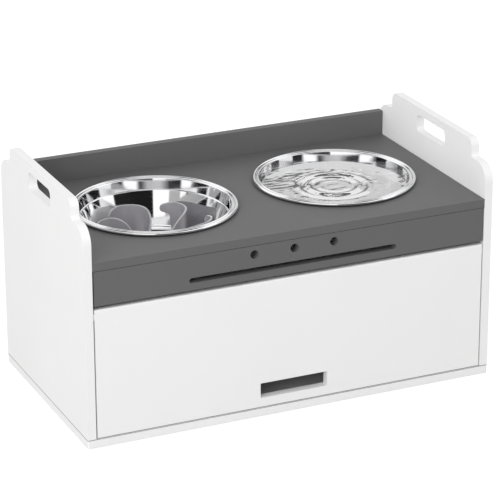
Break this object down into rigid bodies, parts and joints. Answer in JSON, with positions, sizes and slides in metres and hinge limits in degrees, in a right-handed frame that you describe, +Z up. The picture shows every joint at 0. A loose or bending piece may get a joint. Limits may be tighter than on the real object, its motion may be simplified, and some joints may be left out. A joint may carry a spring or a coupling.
{
  "type": "elevated dog feeder with storage",
  "caption": "Raised dog feeding station: painted board cabinet with a flip-up flap door, lift-out steel bowls in its top, a hooked slow-feeder insert and hand slots in the sides.",
  "frame": {"origin": "centre of the underside of the base board, which rests on the floor", "axes": "+X across the width towards the right-hand (water) bowl, -Y is the front with the flap door, +Z up"},
  "size_m": [0.6, 0.32, 0.336],
  "materials": {
    "white_painted_board": "satin white paint on fibreboard",
    "grey_painted_board": "matt grey paint on fibreboard",
    "polished_steel": "mirror-polished stainless steel",
    "grey_feeder_plastic": "satin moulded plastic",
    "white_moulded_plastic": "moulded",
    "zinc_plated_steel": "bright zinc plate",
    "beech_dowel": "fluted, unfinished",
    "water": "clear water, only in the dressed model"
  },
  "bodies": {
    "cabinet": {"base_board": "white_painted_board", "left_side_panel": "white_painted_board", "right_side_panel": "white_painted_board", "back_panel": "white_painted_board", "top_board": "grey_painted_board", "rear_upstand": "grey_painted_board", "front_apron": "grey_painted_board", "left_pivot_pin": "zinc_plated_steel", "right_pivot_pin": "zinc_plated_steel", "left_magnetic_catch": "white_moulded_plastic", "right_magnetic_catch": "white_moulded_plastic", "catch_screws": "zinc_plated_steel", "left_corner_block": "white_moulded_plastic", "middle_corner_block": "white_moulded_plastic", "right_corner_block": "white_moulded_plastic", "corner_block_screws": "zinc_plated_steel", "cam_bolts": "zinc_plated_steel", "cam_locks": "zinc_plated_steel", "wooden_dowels": "beech_dowel", "base_screws": "zinc_plated_steel", "upstand_screws": "zinc_plated_steel"},
    "door": {"door_panel": "white_painted_board", "left_pivot_bush": "white_moulded_plastic", "right_pivot_bush": "white_moulded_plastic", "left_strike_plate": "zinc_plated_steel", "right_strike_plate": "zinc_plated_steel", "strike_screws": "zinc_plated_steel"},
    "left_bowl": {"left_bowl": "polished_steel"},
    "right_bowl": {"right_bowl": "polished_steel"},
    "slow_feeder": {"slow_feeder_insert": "grey_feeder_plastic"}
  },
  "joints": [
    {"name": "door_hinge", "type": "hinge", "parent": "cabinet", "child": "door", "pos_m": [0, -0.154, 0.185], "axis": [-1, 0, 0], "range_deg": [0, 120]},
    {"name": "left_bowl_lift", "type": "slide", "parent": "cabinet", "child": "left_bowl", "axis": [0, 0, 1], "range_m": [0, 0.1]},
    {"name": "right_bowl_lift", "type": "slide", "parent": "cabinet", "child": "right_bowl", "axis": [0, 0, 1], "range_m": [0, 0.1]},
    {"name": "insert_lift", "type": "slide", "parent": "left_bowl", "child": "slow_feeder", "axis": [0, 0, 1], "range_m": [0, 0.1]}
  ]
}
